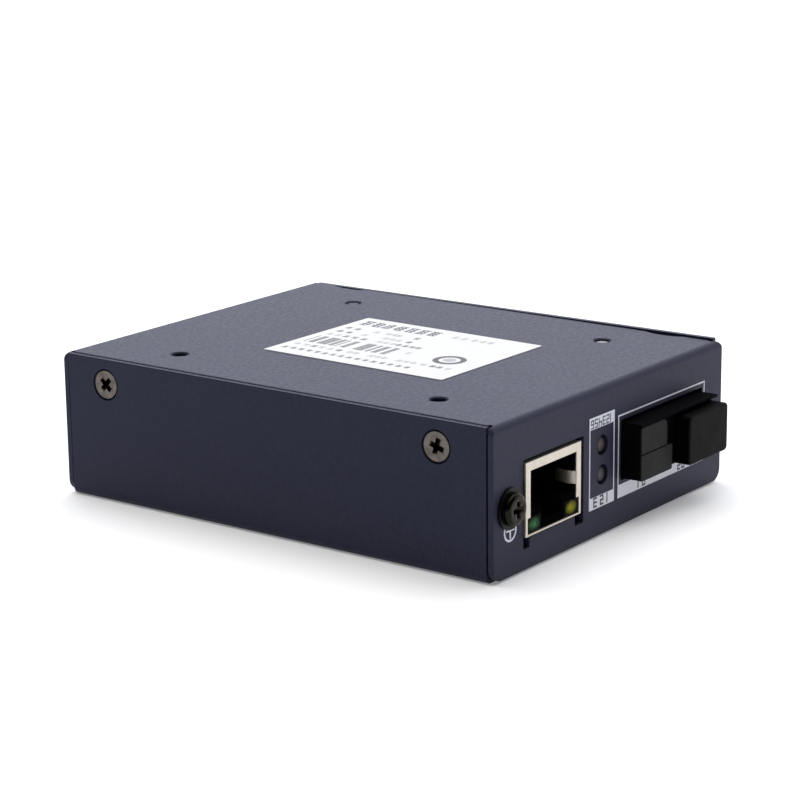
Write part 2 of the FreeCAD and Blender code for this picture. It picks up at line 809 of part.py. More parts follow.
def jack_housing():
    """Moulded insert with the plug cavity, the latch slot and a pocket for each lamp."""
    skin = jack_foil + press_gap
    front_face = jack_front + skin
    body = block(jack_left + skin, jack_right - skin, front_face, jack_rear - skin, jack_foot + skin,
                 jack_top - skin)
    half = plug_cavity_width / 2
    top = cavity_top()
    floor = top - plug_cavity_height
    tools = [block(jack_x - half, jack_x + half, front_face - slot_cut, front_face + plug_cavity_depth,
                   floor, top)]
    tools.append(block(jack_x - latch_width / 2, jack_x + latch_width / 2, front_face - slot_cut,
                       front_face + plug_cavity_depth, floor - latch_drop, floor + slot_cut))
    slot = contact_wire + 2 * press_gap
    for index in range(contact_count):
        x = contact_x(index)
        tools.append(block(x - slot / 2, x + slot / 2, front_face + contact_slot_start,
                           front_face + plug_cavity_depth, top - contact_slot_foot,
                           jack_top - contact_slot_top))
    spring_top = jack_top - shield_spring_drop + shield_spring_gap
    spring_foot = spring_top - shield_spring_width - 2 * shield_spring_gap
    reach = jack_front + shield_spring_length + shield_spring_gap
    edge = jack_width / 2 - frame_side + jack_foil + shield_spring_gap
    tools.append(block(jack_x - edge, jack_x + edge, front_face - slot_cut, reach, spring_foot, spring_top))
    for way in (-1, 1):
        tools.append(jack_lamp_space(way, press_gap))
    return cut(body, tools)


def jack_lamp_space(way, play):
    """Rectangular lamp in a lower corner of the jack, or with play the pocket that holds it."""
    outer = jack_width / 2 - jack_led_inset
    x0 = jack_x + way * outer - (jack_led_width if way > 0 else 0)
    z0 = jack_foot + frame_foot
    y0 = jack_front + jack_led_setback
    y1 = y0 + jack_led_depth
    if play > 0:
        y0 = jack_front - slot_cut
    return block(x0 - play, x0 + jack_led_width + play, y0, y1 + play, z0 - play,
                 z0 + jack_led_height + play)


def jack_lamp(way):
    """Rectangular lamp of the jack with a crowned front."""
    lamp = jack_lamp_space(way, 0)
    face = jack_front + jack_led_setback
    front_edges = [edge for edge in lamp.Edges if edge.BoundBox.YMax < face + press_gap]
    return lamp.makeFillet(jack_led_edge, front_edges)


def jack_contacts():
    """Eight bent wires: each springs down into the cavity and runs back to the board."""
    contacts = []
    low = cavity_top() + contact_lift
    high = low + contact_wire
    start = jack_front + contact_start
    back = jack_front + jack_foil + plug_cavity_depth - contact_end
    tip = start + contact_reach
    for index in range(contact_count):
        x = contact_x(index) - contact_wire / 2
        lead = block(x, x + contact_wire, start, back, low, high)
        leg = [V(x, start, high), V(x, start, low), V(x, tip, low - contact_drop),
               V(x, tip + contact_wire, low - contact_drop),
               V(x, tip + contact_wire, low - contact_drop + contact_tip)]
        spring = extrude(leg, [0] * len(leg), V(contact_wire, 0, 0))
        contacts.append(fuse([lead, spring]))
    return contacts


# ---------------------------------------------------------------- indicator lamps
def lamp_holder():
    """Black block behind the panel that carries the two lamps one above the other."""
    half = lamp_holder_width / 2
    face = front + sheet + lamp_play + lamp_flange_thickness
    foot = lamp_upper_z - lamp_pitch - lamp_holder_width / 2
    holder = rounded_block(lamp_x - half, lamp_x + half, face, face + lamp_holder_depth, foot,
                           board_under, lamp_holder_corner, "y")
    return holder


def panel_lamp(z):
    """Round lamp: domed lens in the panel's hole, flange behind the panel."""
    tip = front + lamp_setback
    radius = lamp_lens / 2
    face = front + sheet + lamp_play
    profile = outline([V(0, tip, 0), V(radius, tip, 0), V(radius, face, 0), V(lamp_flange / 2, face, 0),
                       V(lamp_flange / 2, face + lamp_flange_thickness, 0),
                       V(0, face + lamp_flange_thickness, 0)],
                      [0, lamp_dome * (face - tip), 0, 0, 0, 0])
    lamp = Part.Face(profile).revolve(V(0, 0, 0), V(0, 1, 0), 360)
    lamp.translate(V(lamp_x, 0, z))
    return lamp


# ---------------------------------------------------------------- fibre receptacle
def fibre_receptacle():
    """Moulded housing with two ports in front, a ledge over them and two posts into the board."""
    pieces = [block(fibre_left, fibre_right, fibre_front, fibre_rear, fibre_foot, fibre_top)]
    pieces.append(block(fibre_left, fibre_right, fibre_front - brow_reach, fibre_front + brow_reach,
                        brow_under, fibre_top))
    for x, y in post_places():
        pieces.append(rod(V(x, y, fibre_top - brow_thickness), V(0, 0, 1), brow_thickness + post_reach,
                          post_diameter))
    tools = []
    for x in (rx_x, tx_x):
        half = port_width / 2
        rise = port_height / 2
        tools.append(block(x - half, x + half, fibre_front - slot_cut, port_floor, port_z - rise,
                           port_z + rise))
        tools.append(block(x - key_slot_width / 2, x + key_slot_width / 2, fibre_front - slot_cut,
                           port_floor, port_z, port_z + rise + key_slot_height))
        tools.append(rod(V(x, port_floor - slot_cut, port_z), V(0, 1, 0), slot_cut + sleeve_seat,
                         sleeve_outer + 2 * press_gap))
    return cut(fuse(pieces), tools)


def optical_sleeve(x):
    """Sleeve that a ferrule slides into, standing in the port."""
    base = V(x, port_floor - sleeve_reach, port_z)
    length = sleeve_reach + sleeve_seat
    sleeve = rod(base, V(0, 1, 0), length, sleeve_outer)
    return sleeve.cut(rod(base, V(0, 1, 0), length - sleeve_floor, sleeve_inner))


def optical_assembly(x):
    """Metal barrel of the receiver or of the laser behind a port, with its round header."""
    base = V(x, fibre_rear, port_z)
    barrel = rod(base, V(0, 1, 0), barrel_length, barrel_diameter)
    header = rod(base + V(0, barrel_length, 0), V(0, 1, 0), header_thickness, header_diameter)
    return fuse([barrel, header])


def optical_leads():
    """Four leads from each header, back and then up through the board."""
    leads = []
    half = lead_wire / 2
    top = board_top + lead_stub
    for x in (rx_x, tx_x):
        for across, up, run in lead_runs():
            x0 = x + across - half
            z = port_z + up
            y = header_rear + run
            section = [V(x0, header_rear, z - half), V(x0, y + half, z - half), V(x0, y + half, top),
                       V(x0, y - half, top), V(x0, y - half, z + half), V(x0, header_rear, z + half)]
            radii = [0, lead_bend, 0, 0, lead_bend - lead_wire, 0]
            leads.append(extrude(section, radii, V(lead_wire, 0, 0)))
    return leads


def plug_shank(x):
    """The part of a dust plug that goes into the port, bored to pass over the sleeve."""
    half = port_width / 2 - plug_play
    rise = port_height / 2 - plug_play
    end = fibre_front + plug_reach
    shank = rounded_block(x - half, x + half, fibre_front, end, port_z - rise, port_z + rise,
                          plug_shank_corner, "y")
    return shank.cut(rod(V(x, end - plug_bore_depth, port_z), V(0, 1, 0), plug_bore_depth, plug_bore))


def rx_dust_plug():
    """Flat dust plug, whose head steps in above a fine seam."""
    top = brow_under - rx_head_gap
    foot = top - rx_head_height
    step = foot + rx_step_height
    face = fibre_front - rx_head_thickness
    left = rx_x - rx_head_left
    right = rx_x + rx_head_right
    upper_right = right - rx_step_width
    corners = [V(left, face, foot), V(right, face, foot), V(right, face, step),
               V(upper_right, face, step), V(upper_right, face, top), V(left, face, top)]
    edge = rx_head_corner
    head = extrude(corners, [edge, edge, edge, 0, rx_step_corner, edge], V(0, rx_head_thickness, 0))
    seam = block(left - slot_cut, right + slot_cut, face - slot_cut, face + seam_groove, step,
                 step + seam_groove)
    return fuse([head.cut(seam), plug_shank(rx_x)])


def tx_dust_plug():
    """Deep dust plug: a block with rounded corners to pull it by."""
    half = tx_head_width / 2
    top = brow_under - tx_head_gap
    foot = top - tx_head_height
    face = fibre_front - tx_head_thickness
    head = rounded_block(tx_x - half, tx_x + half, face, fibre_front, foot, top, tx_head_corner, "y")
    rim = [edge for edge in head.Edges if edge.BoundBox.YMax < face + press_gap]
    head = head.makeFillet(tx_head_edge, rim)
    return fuse([head, plug_shank(tx_x)])


# ---------------------------------------------------------------- power inlet
def power_inlet_housing():
    """Moulded barrel socket, flush with the rear panel, with a shoulder behind it."""
    half = inlet_width / 2
    face = rear
    body = block(inlet_x - half, inlet_x + half, face - inlet_length, face, board_under - inlet_height,
                 board_under)
    bore = rod(V(inlet_x, face - inlet_bore_depth, inlet_z), V(0, 1, 0), inlet_bore_depth + slot_cut,
               inlet_bore)
    pin_hole = rod(V(inlet_x, face - inlet_length, inlet_z), V(0, 1, 0), inlet_length,
                   inlet_pin + 2 * press_gap)
    spring_slot = block(inlet_x - inlet_spring_width / 2 - press_gap,
                        inlet_x + inlet_spring_width / 2 + press_gap,
                        face - inlet_length, face - inlet_bore_depth / 3,
                        inlet_z - inlet_bore / 2 - inlet_spring, inlet_z - inlet_bore / 4)
    return cut(body, [bore, pin_hole, spring_slot])


def power_inlet_pin():
    """Centre pin of the barrel socket."""
    start = rear - inlet_length
    length = inlet_length - inlet_bore_depth + inlet_pin_reach
    bevel = inlet_pin / 4
    pin = rod(V(inlet_x, start, inlet_z), V(0, 1, 0), length - bevel, inlet_pin)
    tip = taper(V(inlet_x, start + length - bevel, inlet_z), V(0, 1, 0), bevel, inlet_pin,
                inlet_pin - 2 * bevel)
    return fuse([pin, tip])


def power_inlet_spring():
    """Bent contact that presses on the plug's barrel."""
    low = inlet_z - inlet_bore / 2 - inlet_spring
    start = rear - inlet_length
    tip = rear - inlet_bore_depth / 3 - inlet_spring_gap
    crest = tip - inlet_spring_pitch
    bend = crest - inlet_spring_pitch
    under = [V(0, start, low), V(0, bend, low), V(0, crest, low + inlet_spring_crest), V(0, tip, low)]
    over = [point + V(0, 0, inlet_spring) for point in reversed(under)]
    spring = extrude(under + over, [0] * len(under + over), V(inlet_spring_width, 0, 0))
    spring.translate(V(inlet_x - inlet_spring_width / 2, 0, press_gap))
    return spring


# ---------------------------------------------------------------- parts on the board
def board_block(x, y, length, width, height, corner=0):
    """Component body under the board, with square or rounded upright edges."""
    return rounded_block(x - length / 2, x + length / 2, y - width / 2, y + width / 2,
                         board_under - height, board_under, corner, "z")


def converter_chip():
    """Square flat pack with a frame of leads and a dimple at its first lead."""
    long_side = chip_size + 2 * chip_lead
    short_side = chip_size - 2 * chip_lead
    body = board_block(chip_x, chip_y, chip_size, chip_size, chip_height, chip_corner)
    leads = board_block(chip_x, chip_y, long_side, short_side, chip_lead_thickness)
    other = board_block(chip_x, chip_y, short_side, long_side, chip_lead_thickness)
    reach = chip_size / 2 - chip_mark_inset
    mark = rod(V(chip_x - reach, chip_y - reach, board_under - chip_height - slot_cut), V(0, 0, 1),
               slot_cut + chip_mark_depth, chip_mark)
    return fuse([body, leads, other]).cut(mark)


def electrolytic(x, y):
    """Can capacitor with its rolled groove."""
    radius = capacitor_diameter / 2
    waist = radius - capacitor_groove
    foot = board_under - capacitor_foot
    groove = foot - capacitor_groove_pitch
    top = board_under - capacitor_height
    corners = [V(0, 0, board_under), V(radius, 0, board_under), V(radius, 0, foot), V(waist, 0, groove),
               V(radius, 0, groove - capacitor_groove_pitch), V(radius, 0, top + capacitor_edge),
               V(radius - capacitor_edge, 0, top), V(0, 0, top)]
    can = Part.Face(outline(corners, [0] * len(corners)))
    can = can.revolve(V(0, 0, 0), V(0, 0, 1), 360)
    can.translate(V(x, y, 0))
    return can


def chip_parts():
    """Two rows of small surface parts."""
    bodies = []
    for index in range(chip_parts_columns):
        for row in (0, 1):
            bodies.append(board_block(chip_parts_x + index * chip_parts_pitch,
                                      chip_parts_y + row * chip_parts_pitch, chip_part_width,
                                      chip_part_length, chip_part_height))
    return bodies


def board_parts():
    """Everything that is soldered on the board and hidden in the case."""
    save("converter_chip", [converter_chip()])
    save("line_transformer", [board_block(jack_x, transformer_y, transformer_length,
                                          transformer_width, transformer_height, transformer_corner)])
    save("crystal", [board_block(crystal_x, crystal_y, crystal_length, crystal_width, crystal_height,
                                 crystal_end)])
    save("electrolytic_capacitors", [electrolytic(capacitor_x + way * capacitor_spread / 2, capacitor_y)
                                     for way in (-1, 1)])
    save("voltage_regulator", [board_block(regulator_x, regulator_y, regulator_length, regulator_width,
                                           regulator_height, regulator_corner)])
    save("power_inductor", [board_block(inductor_x, inductor_y, inductor_size, inductor_size,
                                        inductor_height, inductor_corner)])
    save("chip_resistors", chip_parts())


# ---------------------------------------------------------------- label
def rating_label():
    """Paper label on the plate, slightly askew."""
    label = rounded_block(label_x - label_width / 2, label_x + label_width / 2,
                          label_y - label_length / 2, label_y + label_length / 2, case_height,
                          case_height + label_thickness, label_corner, "z")
    label.rotate(V(label_x, label_y, case_height), V(0, 0, 1), label_turn)
    return label


def main():
    """Build and write every node."""
    os.makedirs("parts", exist_ok=True)
    save("base_tray", [base_tray()])
    save("cover", [cover()])
    save("side_screws", side_screws())
    ground_terminal()
    board_fixings()
    save("rating_label", [rating_label()])
    save("circuit_board", [circuit_board()])
    save("jack_shield", [jack_shield()])
    save("jack_housing", [jack_housing()])
    save("jack_contacts", jack_contacts())
    save("jack_lamp_green", [jack_lamp(-1)])
    save("jack_lamp_yellow", [jack_lamp(1)])
    save("lamp_holder", [lamp_holder()])
    save("link_lamp", [panel_lamp(lamp_upper_z)])
    save("power_lamp", [panel_lamp(lamp_upper_z - lamp_pitch)])
    save("fibre_receptacle", [fibre_receptacle()])
    save("rx_optical_sleeve", [optical_sleeve(rx_x)])
    save("tx_optical_sleeve", [optical_sleeve(tx_x)])
    save("rx_optical_assembly", [optical_assembly(rx_x)])
    save("tx_optical_assembly", [optical_assembly(tx_x)])
    save("optical_leads", optical_leads())
    save("rx_dust_plug", [rx_dust_plug()])
    save("tx_dust_plug", [tx_dust_plug()])
    save("power_inlet_housing", [power_inlet_housing()])
    save("power_inlet_pin", [power_inlet_pin()])
    save("power_inlet_spring", [power_inlet_spring()])
    board_parts()


main()
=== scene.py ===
"""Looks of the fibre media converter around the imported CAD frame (metres, +Z up, front panel faces -Y)."""
import math
import random

import bmesh
import bpy
from mathutils import Matrix, Vector


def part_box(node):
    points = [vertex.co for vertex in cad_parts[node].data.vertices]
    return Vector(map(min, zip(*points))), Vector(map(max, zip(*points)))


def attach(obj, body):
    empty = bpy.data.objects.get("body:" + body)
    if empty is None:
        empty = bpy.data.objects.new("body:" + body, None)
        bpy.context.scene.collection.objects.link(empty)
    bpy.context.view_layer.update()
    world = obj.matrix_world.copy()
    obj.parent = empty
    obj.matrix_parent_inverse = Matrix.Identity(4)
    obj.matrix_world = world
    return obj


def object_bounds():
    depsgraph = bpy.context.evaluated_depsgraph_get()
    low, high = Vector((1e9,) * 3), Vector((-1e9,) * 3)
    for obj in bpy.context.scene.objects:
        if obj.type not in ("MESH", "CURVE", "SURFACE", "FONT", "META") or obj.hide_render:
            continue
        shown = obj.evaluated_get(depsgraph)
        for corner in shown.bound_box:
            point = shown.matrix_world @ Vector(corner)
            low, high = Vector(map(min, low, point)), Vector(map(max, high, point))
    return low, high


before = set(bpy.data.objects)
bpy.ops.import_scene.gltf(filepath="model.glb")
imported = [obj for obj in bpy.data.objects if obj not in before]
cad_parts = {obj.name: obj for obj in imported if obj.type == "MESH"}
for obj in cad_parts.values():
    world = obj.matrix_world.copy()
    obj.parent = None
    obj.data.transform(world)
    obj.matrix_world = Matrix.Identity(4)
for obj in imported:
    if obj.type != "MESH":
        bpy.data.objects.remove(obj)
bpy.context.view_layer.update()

MM = 0.001


# ---------------------------------------------------------------- helpers
def add_object(name, data):
    """New object in the scene's own collection."""
    obj = bpy.data.objects.new(name, data)
    bpy.context.scene.collection.objects.link(obj)
    return obj


def fill(node, **values):
    """Constants straight on a node's sockets; an underscore stands for a space."""
    for key, value in values.items():
        node.inputs[key.replace("_", " ")].default_value = value


def shade(tint, factor):
    """Tint made darker or lighter, never brighter than white paper."""
    return tuple(min(c * factor, 0.98) for c in tint)


def loft(bm, rings, finish=0):
    """Closed solid through rings that have the same number of points."""
    rings = [[bm.verts.new(point) for point in ring] for ring in rings]
    faces = [bm.faces.new(rings[-1]), bm.faces.new(list(reversed(rings[0])))]
    for under, over in zip(rings, rings[1:]):
        for index in range(len(under)):
            following = (index + 1) % len(under)
            faces.append(bm.faces.new((under[index], under[following], over[following], over[index])))
    for face in faces:
        face.material_index = finish


def add_solids(name, bm, *materials):
    """Object made of the closed solids in a bmesh."""
    mesh = bpy.data.meshes.new(name)
    bmesh.ops.recalc_face_normals(bm, faces=bm.faces)
    bm.to_mesh(mesh)
    bm.free()
    for material in materials:
        mesh.materials.append(material)
    return add_object(name, mesh)


# ---------------------------------------------------------------- camera
CAMERA_PLACE = (-0.3493, -0.2611, 0.1300)
CAMERA_AZIMUTH = -53.35      # degrees, from straight in front of the panel
CAMERA_ELEVATION = 14.645
CAMERA_ROLL = -0.66
CAMERA_LENS = 113.74         # millimetres, as the sensor's width is
CAMERA_SENSOR = 36


def place_camera():
    """Camera to the left of the front panel, a little above the plate."""
    azimuth, elevation, roll = (math.radians(a) for a in (CAMERA_AZIMUTH, CAMERA_ELEVATION, CAMERA_ROLL))
    back = Vector((math.sin(azimuth) * math.cos(elevation), -math.cos(azimuth) * math.cos(elevation),
                   math.sin(elevation)))
    right = Vector((math.cos(azimuth), math.sin(azimuth), 0))
    up = back.cross(right)
    rolled_right = math.cos(roll) * right + math.sin(roll) * up
    rolled_up = -math.sin(roll) * right + math.cos(roll) * up
    data = bpy.data.cameras.new("view_camera")
    data.sensor_width = CAMERA_SENSOR
    data.lens = CAMERA_LENS
    data.clip_start = 0.01
    camera = add_object("view_camera", data)
    turn = Matrix((rolled_right, rolled_up, back)).transposed().to_4x4()
    camera.matrix_world = Matrix.Translation(Vector(CAMERA_PLACE)) @ turn
    bpy.context.scene.camera = camera


# ---------------------------------------------------------------- lights and floor
SWEEP_BRIGHT_SIDE = (0.76, 0.57, 0.32)    # away from the camera and above
SWEEP_TINT = (0.86, 0.885, 1.0)
FLOOR_SIZE = 6.0
FLOOR_GAP = 0.05 * MM


def area_light(name, place, aim, size, power, colour=(1, 1, 1)):
    """Square soft light that looks at a point."""
    data = bpy.data.lights.new(name, "AREA")
    data.shape = "SQUARE"
    data.size = size
    data.energy = power
    data.color = colour
    light = add_object(name, data)
    light.location = place
    light.rotation_euler = (Vector(aim) - Vector(place)).to_track_quat("-Z", "Y").to_euler()


def build_sweep():
    """White surroundings: bright behind and above, darker on the near left."""
    world = bpy.data.worlds.new("studio")
    bpy.context.scene.world = world
    world.use_nodes = True
    nodes, links = world.node_tree.nodes, world.node_tree.links
    nodes.clear()
    coords = nodes.new("ShaderNodeTexCoord")
    towards = nodes.new("ShaderNodeVectorMath")
    towards.operation = "DOT_PRODUCT"
    towards.inputs[1].default_value = Vector(SWEEP_BRIGHT_SIDE).normalized()
    links.new(coords.outputs["Generated"], towards.inputs[0])
    brightness = nodes.new("ShaderNodeMapRange")
    brightness.interpolation_type = "SMOOTHSTEP"
    fill(brightness, From_Min=0.12, From_Max=0.97, To_Min=0.10, To_Max=2.02)
    links.new(towards.outputs["Value"], brightness.inputs["Value"])
    background = nodes.new("ShaderNodeBackground")
    fill(background, Color=(*SWEEP_TINT, 1))
    links.new(brightness.outputs["Result"], background.inputs["Strength"])
    out = nodes.new("ShaderNodeOutputWorld")
    links.new(background.outputs["Background"], out.inputs["Surface"])


def build_floor():
    """Pale floor just under the case."""
    mesh = bpy.data.meshes.new("studio_floor")
    bm = bmesh.new()
    bmesh.ops.create_grid(bm, x_segments=1, y_segments=1, size=FLOOR_SIZE)
    bm.to_mesh(mesh)
    bm.free()
    floor = add_object("studio_floor", mesh)
    floor.location.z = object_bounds()[0][2] - FLOOR_GAP
    paint = bpy.data.materials.new("floor_white")
    paint.use_nodes = True
    fill(paint.node_tree.nodes["Principled BSDF"], Base_Color=(0.94, 0.94, 0.94, 1), Roughness=0.9,
         Specular_IOR_Level=0.1, Emission_Color=(1, 1, 1, 1), Emission_Strength=0.2)
    mesh.materials.append(paint)


def build_studio():
    """Plain soft studio: sweep, two soft lights and a floor."""
    view = bpy.context.scene.view_settings
    view.view_transform = "Standard"
    view.look = "None"
    build_sweep()
    area_light("top_softbox", (0.10, 0.22, 2.0), aim=(0.05, 0.12, 0), size=2.4, power=37,
               colour=(1.0, 0.985, 0.94))
    area_light("front_fill", (0.60, -0.60, 0.35), aim=(0, 0, 0.01), size=0.5, power=0.6)
    build_floor()


# ---------------------------------------------------------------- materials
NOISE_BAND = (0.3, 0.7)      # most of a noise texture lies between these values
NAVY = (0.0204, 0.0205, 0.0390)
# darker copy of the tray's coat for the cover: painted shade, so that its near wall looks as dark as it does
# in shade
COVER_NAVY_SHADED = (0.0168, 0.0184, 0.0345)


class Shader:
    """Small helper round one material's node tree; sizes are in millimetres."""

    def __init__(self, name):
        self.material = bpy.data.materials.new(name)
        self.material.use_nodes = True
        self.nodes = self.material.node_tree.nodes
        self.links = self.material.node_tree.links
        self.bsdf = self.nodes["Principled BSDF"]
        texture = self.nodes.new("ShaderNodeTexCoord")
        self.coords = texture.outputs["Object"]
        self.share = texture.outputs["Generated"]

    def noise(self, size_mm, detail=2.0, rough=0.5, stretch=(1, 1, 1)):
        """Noise whose features are about size_mm across."""
        mapping = self.nodes.new("ShaderNodeMapping")
        fill(mapping, Scale=stretch)
        self.links.new(self.coords, mapping.inputs["Vector"])
        texture = self.nodes.new("ShaderNodeTexNoise")
        fill(texture, Scale=1 / (size_mm * MM), Detail=detail, Roughness=rough)
        self.links.new(mapping.outputs["Vector"], texture.inputs["Vector"])
        return texture.outputs["Fac"]

    def axis(self, letter):
        """One of the object's coordinates, in metres."""
        split = self.nodes.new("ShaderNodeSeparateXYZ")
        self.links.new(self.coords, split.inputs[0])
        return split.outputs[letter]

    def vector(self, operation, socket, constant=(0, 0, 0), output="Vector"):
        """Vector operation on a socket and a constant."""
        node = self.nodes.new("ShaderNodeVectorMath")
        node.operation = operation
        node.inputs[1].default_value = constant
        self.links.new(socket, node.inputs[0])
        return node.outputs[output]

    def map(self, value, low, high, out_low=0.0, out_high=1.0):
        """Linear remap of a value, clamped at both ends."""
        node = self.nodes.new("ShaderNodeMapRange")
        fill(node, From_Min=low, From_Max=high, To_Min=out_low, To_Max=out_high)
        self.links.new(value, node.inputs["Value"])
        return node.outputs["Result"]

    def ramp(self, value, low, high, first, second):
        """Colour ramp between two tints."""
        node = self.nodes.new("ShaderNodeValToRGB")
        for element, position, tint in zip(node.color_ramp.elements, (low, high), (first, second)):
            element.position = position
            element.color = (*tint, 1)
        self.links.new(value, node.inputs["Fac"])
        return node.outputs["Color"]

    def mix(self, factor, first, second):
        """Mix of two colours; each is a socket or a tint."""
        node = self.nodes.new("ShaderNodeMix")
        node.data_type = "RGBA"
        for socket, value in ((node.inputs[0], factor), (node.inputs[6], first), (node.inputs[7], second)):
            if isinstance(value, bpy.types.NodeSocket):
                self.links.new(value, socket)
            else:
                socket.default_value = (*value, 1)
        return node.outputs[2]

    def mottled(self, noise, tint, dark=0.85, light=1.15):
        """Tint that wanders between a darker and a lighter tone."""
        return self.mix(self.map(noise, *NOISE_BAND), shade(tint, dark), shade(tint, light))

    def colour(self, socket):
        """Base colour from a socket."""
        self.links.new(socket, self.bsdf.inputs["Base Color"])

    def roughness(self, noise, low, high):
        """Roughness that follows a noise."""
        self.links.new(self.map(noise, *NOISE_BAND, low, high), self.bsdf.inputs["Roughness"])

    def bump(self, heights, edge_mm=0.0, samples=4):
        """Bump from (socket, strength, depth_mm) layers, over softened edges."""
        normal = None
        if edge_mm > 0:
            bevel = self.nodes.new("ShaderNodeBevel")
            bevel.samples = samples
            fill(bevel, Radius=edge_mm * MM)
            normal = bevel.outputs["Normal"]
        for socket, strength, depth in heights:
            node = self.nodes.new("ShaderNodeBump")
            fill(node, Strength=strength, Distance=depth * MM)
            self.links.new(socket, node.inputs["Height"])
            if normal is not None:
                self.links.new(normal, node.inputs["Normal"])
            normal = node.outputs["Normal"]
        self.links.new(normal, self.bsdf.inputs["Normal"])


def powder_coat(name, tint):
    """Fine textured powder coat: orange-peel bump, slight mottling and dust."""
    s = Shader(name)
    grain = s.noise(0.7, detail=3.0, rough=0.55)
    cloud = s.noise(9.0, detail=3.0)
    peel = s.noise(1.3)
    speckled = s.ramp(grain, 0.35, 0.68, shade(tint, 0.85), shade(tint, 1.2))
    dust = shade(tint, 1.25)
    s.colour(s.mix(s.map(cloud, 0.35, 0.7, 0.0, 0.25), speckled, dust))
    s.roughness(grain, 0.42, 0.56)
    s.bump([(peel, 0.3, 0.08), (grain, 0.4, 0.04)], edge_mm=0.22)
    fill(s.bsdf, Specular_IOR_Level=0.205, Specular_Tint=(0.70, 0.715, 1.0, 1))
    return s.material


def moulded(name, tint, rough=0.5, grain_mm=0.12, spec=0.25, face=None):
    """Moulded plastic with a fine spark-eroded grain.

    face is (node, tint): the node's outer face takes this lighter tint as painted light, and its sides keep
    the darker tint as painted shade.
    """
    s = Shader(name)
    grain = s.noise(grain_mm, detail=3.0, rough=0.6)
    flow = s.noise(4.0)
    if face:
        node, painted_lit_face_tint = face
        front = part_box(node)[0][1]
        # painted light on the outer face, fading into painted shade on the sides
        lit_face_depth, shaded_side_depth = 0.05 * MM, 0.3 * MM
        inward = s.map(s.axis("Y"), front + lit_face_depth, front + shaded_side_depth)
        s.colour(s.mix(inward, s.mottled(flow, painted_lit_face_tint), tint))
    else:
        s.colour(s.mottled(flow, tint))
    s.roughness(grain, rough - 0.07, rough + 0.07)
    s.bump([(grain, 0.3, 0.02), (flow, 0.1, 0.05)], edge_mm=0.15)
    fill(s.bsdf, Specular_IOR_Level=spec)
    return s.material


def metal(name, tint, rough=0.3, brush=(1, 1, 1), stain=0.15, edge_mm=0.08, samples=4, shaded_recess_node=None):
    """Metal with fine brushing and stains.

    The last argument names a node whose colour is painted near black, as painted shade, in all that lies
    below its two end faces, such as recesses.
    """
    s = Shader(name)
    brushed = s.noise(0.25, detail=3.0, rough=0.6, stretch=brush)
    cloud = s.noise(1.5)
    tone = s.mix(s.map(cloud, 0.35, 0.65), tint, shade(tint, 1 - stain))
    if shaded_recess_node:
        low, high = (corner[0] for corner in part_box(shaded_recess_node))
        # painted shade: the recess walls turn near black from 0.04 mm to 0.25 mm below the end faces
        shade_start_depth, full_shade_depth = 0.04 * MM, 0.25 * MM
        across = s.axis("X")
        from_near = s.map(across, low + shade_start_depth, low + full_shade_depth)
        from_far = s.map(across, high - full_shade_depth, high - shade_start_depth, 1.0, 0.0)
        tone = s.mix(from_near, tone, s.mix(from_far, tone, shade(tint, 0.08)))
    s.colour(tone)
    s.roughness(brushed, rough - 0.06, rough + 0.08)
    s.bump([(brushed, 0.25, 0.02)], edge_mm, samples)
    fill(s.bsdf, Metallic=1.0)
    return s.material


def lens(name, core, painted_shade_rim, near, reach, middle=(0.5, 0.5, 0.5), spec=0.02):
    """Cloudy lamp lens whose colour darkens from its core to a near-black rim, painted shade of the hole
    round it; near, reach and middle are shares of its box, as seen from the front.
    """
    s = Shader(name)
    aside = s.vector("MULTIPLY", s.vector("SUBTRACT", s.share, middle), (1, 0, 1))
    distance = s.vector("LENGTH", aside, output="Value")
    cloud = s.noise(0.5)
    # painted shade towards the rim
    s.colour(s.mix(s.map(cloud, 0.35, 0.7, 0.0, 0.4), s.mix(s.map(distance, near, reach), core, painted_shade_rim), painted_shade_rim))
    s.roughness(cloud, 0.3, 0.42)
    s.bump([(s.noise(0.3), 0.12, 0.02)], edge_mm=0.15)
    fill(s.bsdf, Specular_IOR_Level=spec)
    return s.material


def label_paper():
    """White label stock with a faint fibre."""
    s = Shader("label_paper_white")
    fibre = s.noise(0.35, detail=4.0, rough=0.7, stretch=(1, 0.5, 1))
    s.colour(s.mix(s.map(fibre, *NOISE_BAND), (0.705, 0.70, 0.675), (0.75, 0.745, 0.72)))
    s.roughness(fibre, 0.5, 0.62)
    s.bump([(fibre, 0.15, 0.02)])
    return s.material


def ink(name, tint):
    """Printed ink, a little uneven."""
    s = Shader(name)
    spread = s.noise(0.25, detail=3.0, rough=0.7)
    s.colour(s.mottled(spread, tint, light=1.1))
    s.roughness(spread, 0.42, 0.55)
    s.bump([(spread, 0.1, 0.01)])
    return s.material


def plug_moulding(name, node, painted_lit_face_tint, spec):
    """Black plug whose outer face is painted lighter than its sides: painted light on the face, painted
    shade on the sides.
    """
    return moulded(name, (0.001, 0.001, 0.001), 0.6, spec=spec, face=(node, painted_lit_face_tint))


def panel_lens(name, core):
    """Smoky lens of a lamp behind the front panel, its dark rim, heavier on one side, painted as shade of
    its hole.
    """
    return lens(name, core, (0.002, 0.002, 0.003), near=0.02, reach=0.32, middle=(0.43, 0.5, 0.54), spec=0.2)


